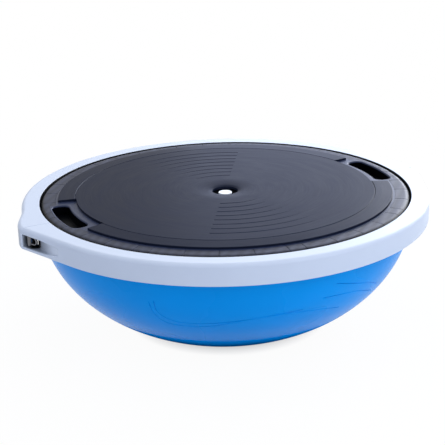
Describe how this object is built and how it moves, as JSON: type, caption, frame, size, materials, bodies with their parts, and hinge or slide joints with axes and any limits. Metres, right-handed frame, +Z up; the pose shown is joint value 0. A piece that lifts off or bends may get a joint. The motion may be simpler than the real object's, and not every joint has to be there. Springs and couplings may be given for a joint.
{
  "type": "half ball balance trainer",
  "caption": "Inflated half ball clamped between a lugged outer ring and a ribbed round platform with hand slots, a central valve plug and swinging band anchors.",
  "frame": {"origin": "on the floor, under the middle of the platform and in the middle of the dome's flat foot", "axes": "+Z up from the dome's foot to the platform, +X from the middle out through the right lug, +Y away from the side that both scoops face"},
  "size_m": [0.655, 0.62, 0.2062],
  "materials": {
    "ring_plastic": "satin",
    "platform_plastic": "satin",
    "tread_rubber": "matte",
    "bladder_vinyl": "gloss",
    "valve_rubber": "matte",
    "plug_plastic": "satin",
    "anchor_steel": "satin",
    "screw_zinc": "satin"
  },
  "bodies": {
    "trainer": {"outer_ring": "ring_plastic", "base_platform": "platform_plastic", "tread_ring": "tread_rubber", "dome_bladder": "bladder_vinyl", "valve_body": "valve_rubber", "anchor_pin_left": "anchor_steel", "anchor_pin_right": "anchor_steel", "clamp_screw_01": "screw_zinc", "clamp_screw_02": "screw_zinc", "clamp_screw_03": "screw_zinc", "clamp_screw_04": "screw_zinc", "clamp_screw_05": "screw_zinc", "clamp_screw_06": "screw_zinc", "clamp_screw_07": "screw_zinc", "clamp_screw_08": "screw_zinc", "clamp_screw_09": "screw_zinc", "clamp_screw_10": "screw_zinc", "clamp_screw_11": "screw_zinc", "clamp_screw_12": "screw_zinc", "clamp_screw_13": "screw_zinc", "clamp_screw_14": "screw_zinc", "clamp_screw_15": "screw_zinc", "clamp_screw_16": "screw_zinc"},
    "plug": {"valve_plug": "plug_plastic"},
    "anchor_left": {"anchor_ring_left": "anchor_steel"},
    "anchor_right": {"anchor_ring_right": "anchor_steel"}
  },
  "joints": [
    {"name": "plug_pull", "type": "slide", "parent": "trainer", "child": "plug", "axis": [0, 0, 1], "range_m": [0, 0.03]},
    {"name": "anchor_swing_left", "type": "hinge", "parent": "trainer", "child": "anchor_left", "pos_m": [-0.31568, -0.02762, 0.18405], "axis": [0, 0, -1], "range_deg": [-10, 100]},
    {"name": "anchor_swing_right", "type": "hinge", "parent": "trainer", "child": "anchor_right", "pos_m": [0.31568, -0.02762, 0.18405], "axis": [0, 0, 1], "range_deg": [-10, 100]}
  ]
}
